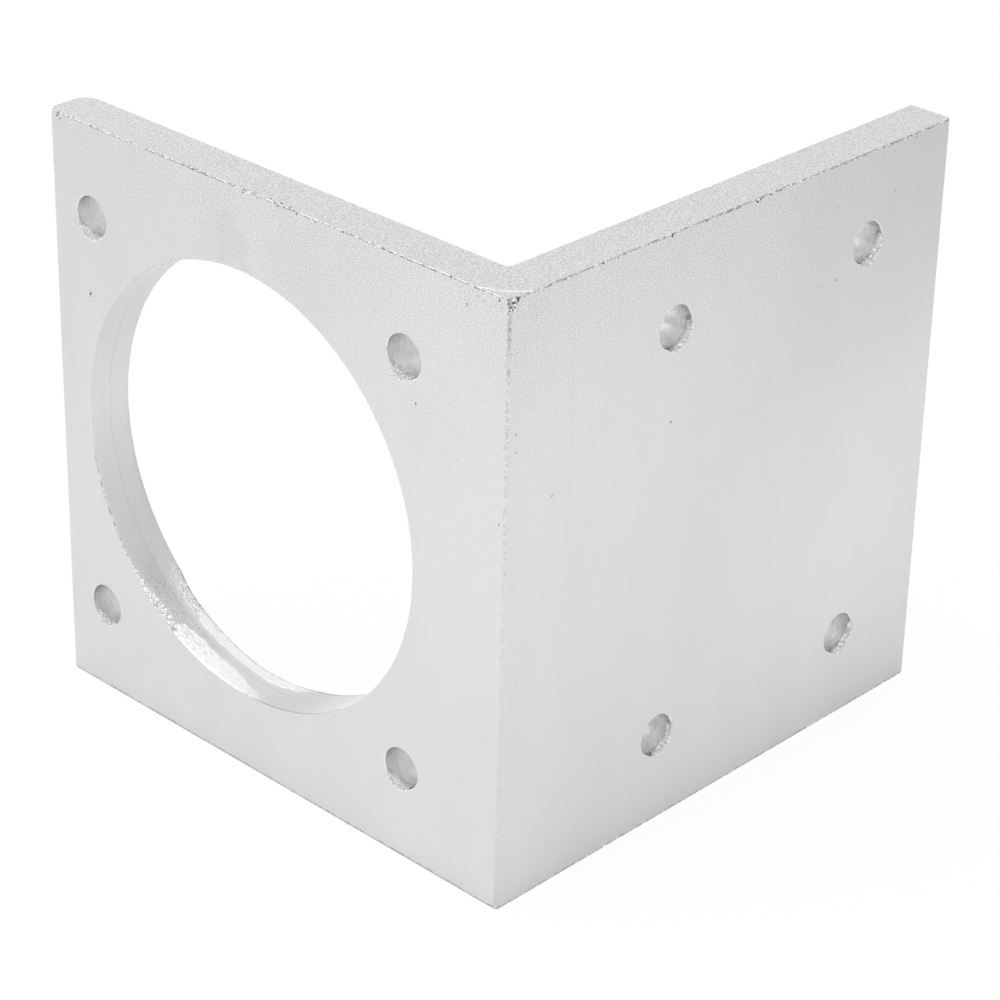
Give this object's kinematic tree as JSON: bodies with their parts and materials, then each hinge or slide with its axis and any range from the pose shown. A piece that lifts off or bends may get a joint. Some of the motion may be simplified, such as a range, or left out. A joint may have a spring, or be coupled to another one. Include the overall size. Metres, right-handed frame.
{
  "type": "motor mounting bracket",
  "caption": "Right-angle motor bracket: one leg bored for a motor's pilot with a square bolt pattern, the other leg drilled to bolt to a base.",
  "frame": {"origin": "centre of the square footprint, on the surface that the lower saw-cut end stands on", "axes": "+Z along the extrusion, -Y out of the motor leg's outer face, +X out of the base leg's outer face"},
  "size_m": [0.1, 0.1, 0.101],
  "materials": {
    "aluminium": "satin bead-blasted mill surface, saw-cut ends, bored and drilled holes"
  },
  "bodies": {
    "root": {"bracket": "aluminium"}
  },
  "joints": []
}
